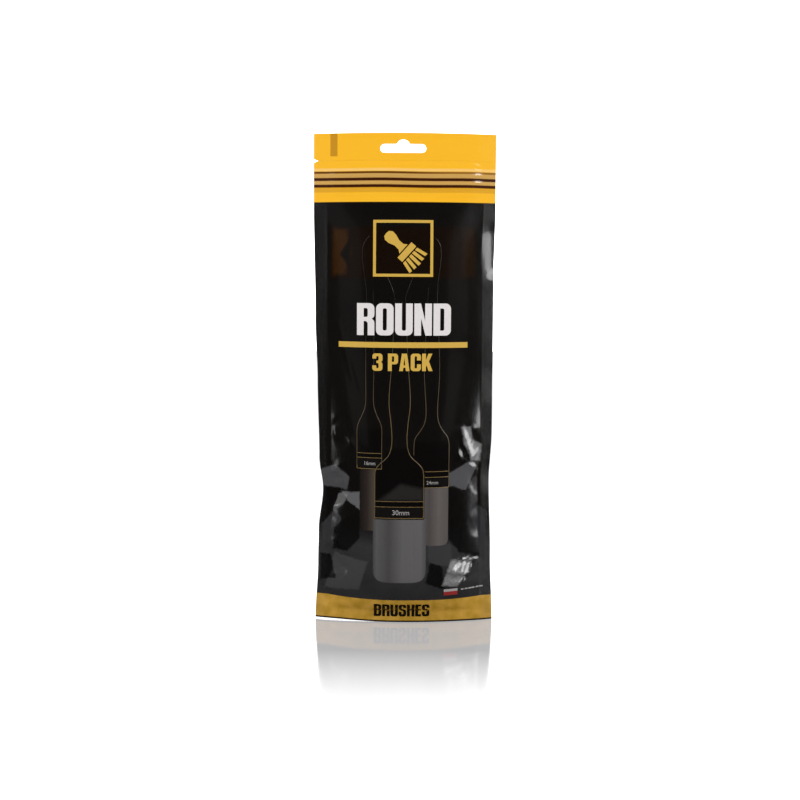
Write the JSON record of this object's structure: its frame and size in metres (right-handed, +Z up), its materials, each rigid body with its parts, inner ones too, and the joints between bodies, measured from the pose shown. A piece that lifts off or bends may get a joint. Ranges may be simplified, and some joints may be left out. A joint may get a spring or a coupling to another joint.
{
  "type": "brush set in resealable pouch",
  "caption": "Flat standing retail pouch with euro slot, tear-off header and press-to-close zip, swollen round a set of round detailing brushes of graded size.",
  "frame": {"origin": "bottom centre of the whole object's bounding box", "axes": "+Z up the pouch, -Y out of its printed front, +X to the right of someone facing the front"},
  "size_m": [0.123, 0.0346, 0.33],
  "materials": {
    "printed_film": "glossy laminated film, printed black",
    "header_film": "glossy laminated film, printed yellow",
    "zip_plastic": "natural polyethylene",
    "handle_plastic": "moulded black",
    "gold_ring": "satin",
    "ferrule_plastic": "satin black",
    "bristle": "stiff natural-and-nylon bristle",
    "resin": "cast amber resin"
  },
  "bodies": {
    "pouch": {"front_panel": "printed_film", "back_panel": "printed_film"},
    "header": {"front_header": "header_film", "back_header": "header_film"},
    "front_lip": {"front_lip": "printed_film", "zip_front_strip": "zip_plastic"},
    "back_lip": {"back_lip": "printed_film", "zip_back_strip": "zip_plastic"},
    "small_brush": {"small_brush_handle": "handle_plastic", "small_brush_ring": "gold_ring", "small_brush_ferrule": "ferrule_plastic", "small_brush_tuft": "bristle", "small_brush_root_plug": "resin"},
    "large_brush": {"large_brush_handle": "handle_plastic", "large_brush_ring": "gold_ring", "large_brush_ferrule": "ferrule_plastic", "large_brush_tuft": "bristle", "large_brush_root_plug": "resin"},
    "medium_brush": {"medium_brush_handle": "handle_plastic", "medium_brush_ring": "gold_ring", "medium_brush_ferrule": "ferrule_plastic", "medium_brush_tuft": "bristle", "medium_brush_root_plug": "resin"}
  },
  "joints": [
    {"name": "header_tear", "type": "hinge", "parent": "pouch", "child": "header", "pos_m": [0.0615, 0, 0.312], "axis": [0, 1, 0], "range_deg": [0, 70]},
    {"name": "front_lip_open", "type": "hinge", "parent": "pouch", "child": "front_lip", "pos_m": [0, -0.01066, 0.252], "axis": [1, 0, 0], "range_deg": [0, 22]},
    {"name": "back_lip_open", "type": "hinge", "parent": "pouch", "child": "back_lip", "pos_m": [0, 0.00865, 0.252], "axis": [-1, 0, 0], "range_deg": [0, 22]},
    {"name": "small_brush_slide", "type": "slide", "parent": "pouch", "child": "small_brush", "axis": [0, 0, 1], "range_m": [0, 0.025]},
    {"name": "large_brush_slide", "type": "slide", "parent": "pouch", "child": "large_brush", "axis": [0, 0, 1], "range_m": [0, 0.025]},
    {"name": "medium_brush_slide", "type": "slide", "parent": "pouch", "child": "medium_brush", "axis": [0, 0, 1], "range_m": [0, 0.025]}
  ],
  "couplings": [
    {"joint": "back_lip_open", "follows": "front_lip_open", "ratio": 1}
  ]
}
